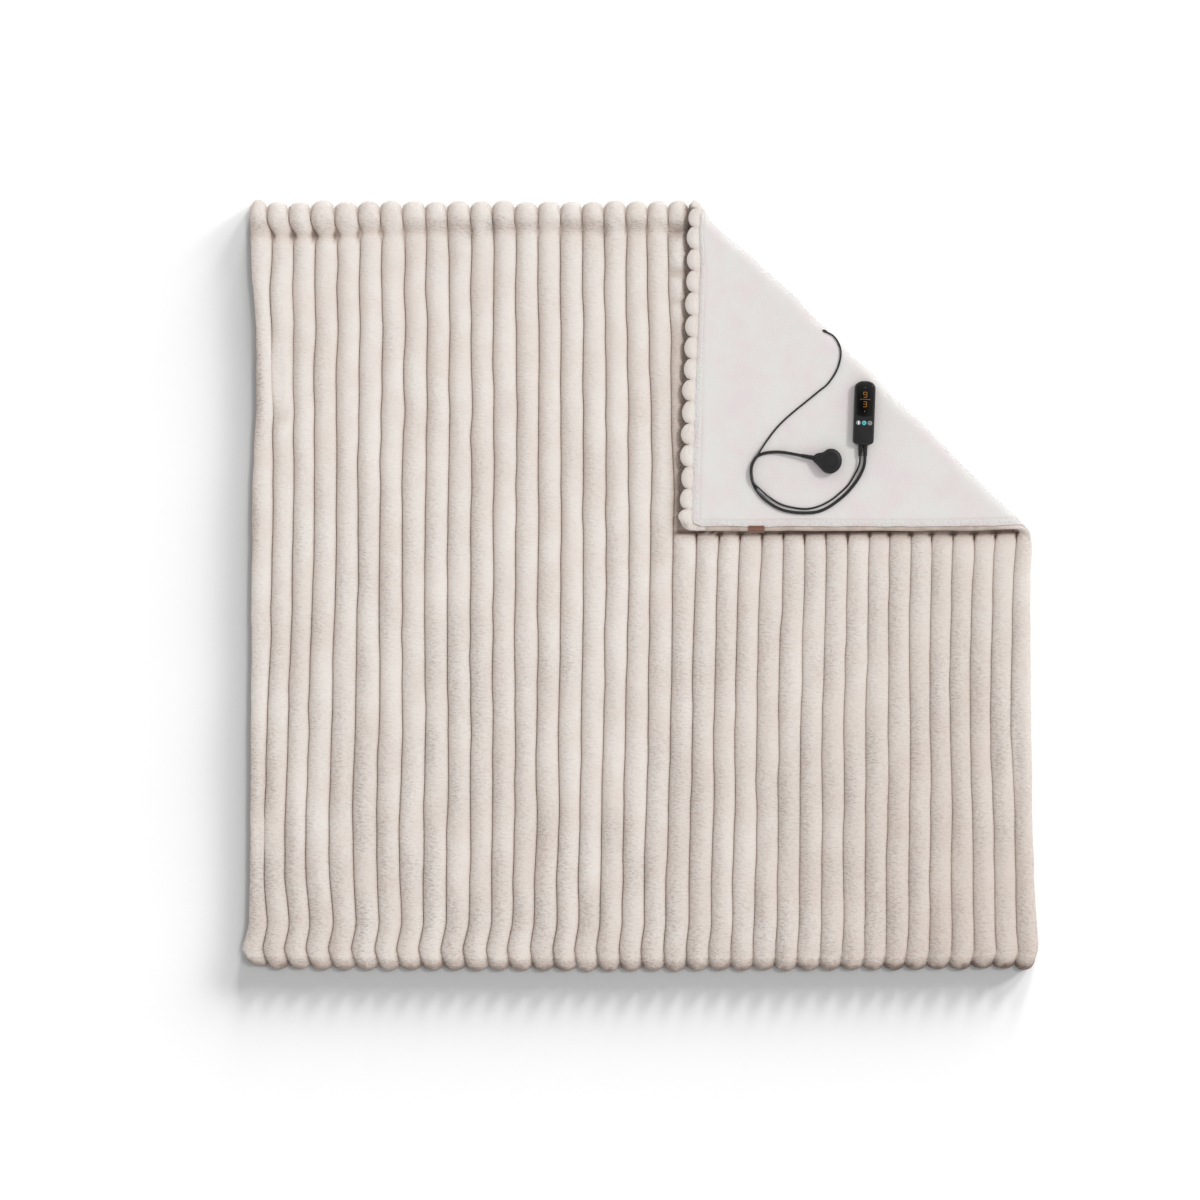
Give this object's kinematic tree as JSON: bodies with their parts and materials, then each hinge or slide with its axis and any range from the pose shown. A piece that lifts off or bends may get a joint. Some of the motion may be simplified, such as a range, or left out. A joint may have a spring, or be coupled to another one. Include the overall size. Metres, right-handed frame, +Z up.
{
  "type": "electric heated blanket",
  "caption": "Ribbed plush heated throw lying flat, a corner folded over to its smooth back, with its handset, leads and plug lying on the flap.",
  "frame": {"origin": "on the surface that the throw lies on, under the middle of the throw as it lies", "axes": "+Z up out of the surface, the ribs run along Y, the folded corner is at +X +Y"},
  "size_m": [1.5475, 1.4988, 0.0533],
  "materials": {
    "rib_plush": "deep ribbed plush",
    "back_plush": "short smooth plush",
    "label_weave": "woven tape, bare",
    "handset_shell": "satin black",
    "lens_gloss": "gloss black",
    "key_plastic": "matt",
    "lead_jacket": "smooth black jacket",
    "moulded_black": "matt, fine grain"
  },
  "bodies": {
    "throw": {"face_panel": "rib_plush", "back_panel": "back_plush", "edge_label": "label_weave", "cord_outlet": "moulded_black", "thin_lead": "lead_jacket", "handset_body": "handset_shell", "handset_lens": "lens_gloss", "relief_thin": "moulded_black", "relief_mains": "moulded_black", "mains_lead": "lead_jacket", "plug_relief": "moulded_black", "plug_body": "moulded_black"},
    "left_key": {"key_left": "key_plastic"},
    "centre_key": {"key_centre": "key_plastic"},
    "right_key": {"key_right": "key_plastic"}
  },
  "joints": [
    {"name": "left_key_press", "type": "slide", "parent": "throw", "child": "left_key", "axis": [0, 0, -1], "range_m": [0, 0.0007], "stiffness_N_per_m": 1500},
    {"name": "centre_key_press", "type": "slide", "parent": "throw", "child": "centre_key", "axis": [0, 0, -1], "range_m": [0, 0.0007], "stiffness_N_per_m": 1500},
    {"name": "right_key_press", "type": "slide", "parent": "throw", "child": "right_key", "axis": [0, 0, -1], "range_m": [0, 0.0007], "stiffness_N_per_m": 1500}
  ]
}
